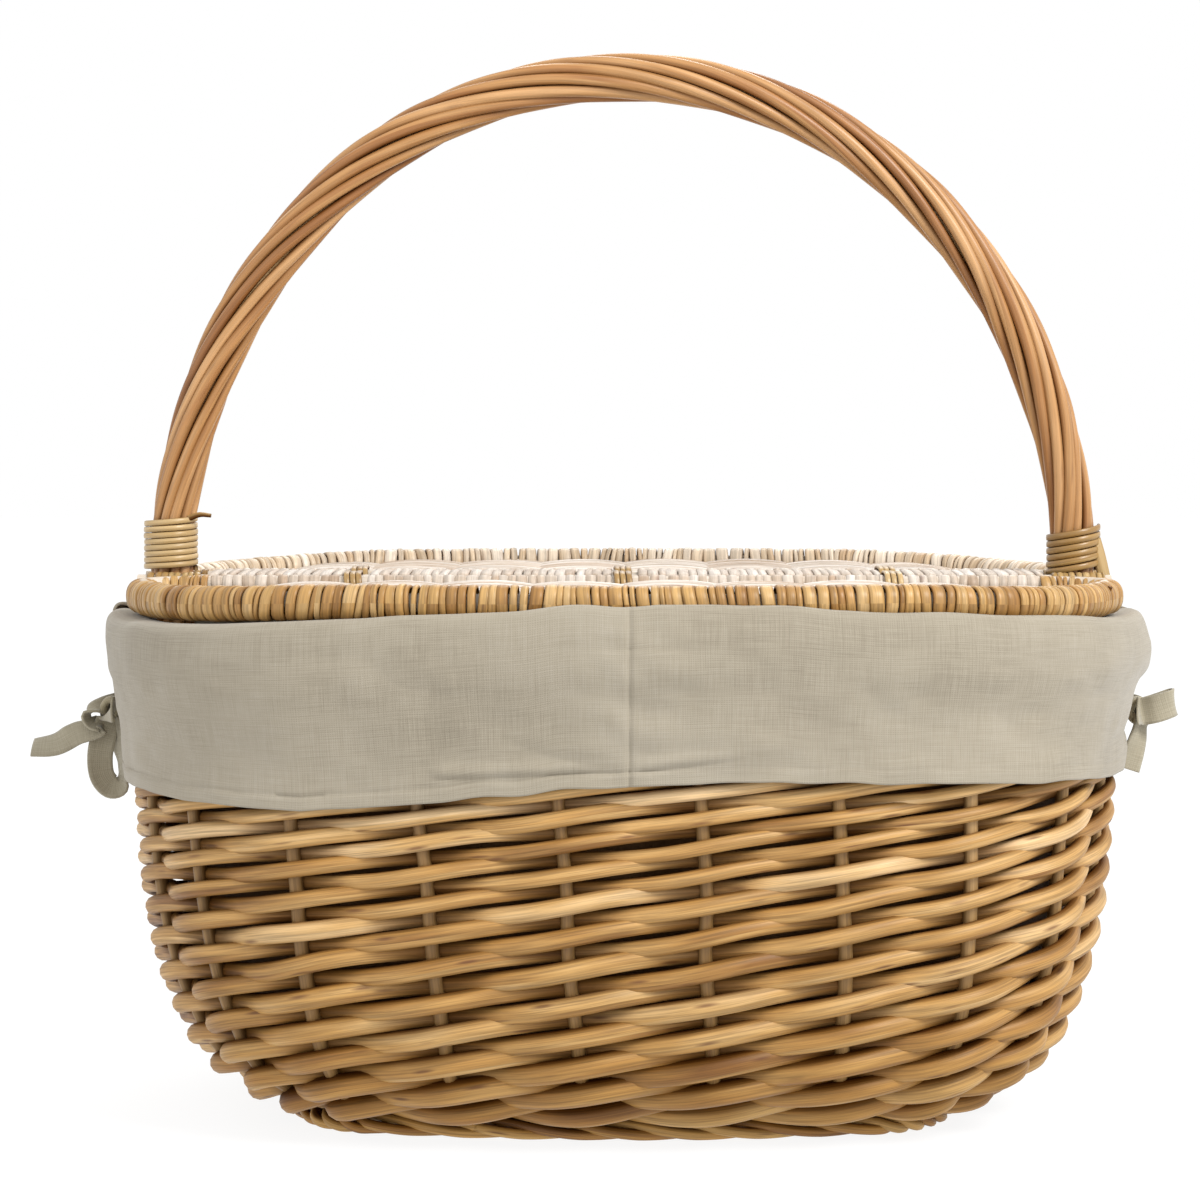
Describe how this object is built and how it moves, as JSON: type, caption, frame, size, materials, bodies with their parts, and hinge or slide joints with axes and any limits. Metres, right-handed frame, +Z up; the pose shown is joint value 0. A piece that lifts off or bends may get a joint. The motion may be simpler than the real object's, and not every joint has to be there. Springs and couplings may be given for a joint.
{
  "type": "bread basket",
  "caption": "Oval woven willow bread basket with a fixed hoop handle, two half lids hinged on a centre bridge, and a linen liner whose cuff folds over the border and ties at the ends.",
  "frame": {"origin": "middle of the flat underside, on the surface the basket stands on", "axes": "+X along the basket's length to the right, +Y to the back, +Z up"},
  "size_m": [0.4688, 0.3208, 0.4251],
  "materials": {
    "woven_willow": "satin buff willow",
    "willow_stakes": "satin buff willow",
    "handle_willow": "lacquered satin",
    "cane": "glossy split cane",
    "rim_skein": "satin split willow",
    "lid_willow": "satin pale willow",
    "linen": "matte unbleached linen",
    "tape": "matte linen tape"
  },
  "bodies": {
    "basket": {"side_stakes": "willow_stakes", "upsett_wale": "woven_willow", "side_weave_bottom": "woven_willow", "side_weave_lower": "woven_willow", "side_weave_middle": "woven_willow", "side_weave_upper": "woven_willow", "top_border": "woven_willow", "foot_border": "woven_willow", "base_long_sticks": "woven_willow", "base_short_sticks": "woven_willow", "base_weave": "woven_willow", "handle_core": "handle_willow", "handle_strand_1": "handle_willow", "handle_strand_2": "handle_willow", "handle_strand_3": "handle_willow", "handle_strand_4": "handle_willow", "handle_strand_5": "handle_willow", "handle_strand_6": "handle_willow", "handle_strand_7": "handle_willow", "handle_strand_8": "handle_willow", "handle_strand_9": "handle_willow", "handle_strand_10": "handle_willow", "handle_binding_left": "cane", "handle_binding_right": "cane", "bridge_rod_front": "willow_stakes", "bridge_rod_rear": "willow_stakes", "bridge_weave": "lid_willow", "bridge_lashing_left": "cane", "bridge_lashing_right": "cane", "front_hinge_loop_left": "cane", "front_hinge_loop_middle": "cane", "front_hinge_loop_right": "cane", "rear_hinge_loop_left": "cane", "rear_hinge_loop_middle": "cane", "rear_hinge_loop_right": "cane", "liner_bag": "linen", "liner_cuff_front": "linen", "liner_cuff_rear": "linen", "tie_left_front": "tape", "tie_left_rear": "tape", "tie_right_front": "tape", "tie_right_rear": "tape"},
    "front_lid": {"front_lid_hoop": "willow_stakes", "front_lid_rim_wrap": "rim_skein", "front_lid_ribs": "willow_stakes", "front_lid_weave": "lid_willow"},
    "rear_lid": {"rear_lid_hoop": "willow_stakes", "rear_lid_rim_wrap": "rim_skein", "rear_lid_ribs": "willow_stakes", "rear_lid_weave": "lid_willow"}
  },
  "joints": [
    {"name": "front_lid_hinge", "type": "hinge", "parent": "basket", "child": "front_lid", "pos_m": [0, -0.0255, 0.212], "axis": [-1, 0, 0], "range_deg": [0, 96]},
    {"name": "rear_lid_hinge", "type": "hinge", "parent": "basket", "child": "rear_lid", "pos_m": [0, 0.0255, 0.212], "axis": [1, 0, 0], "range_deg": [0, 96]}
  ]
}
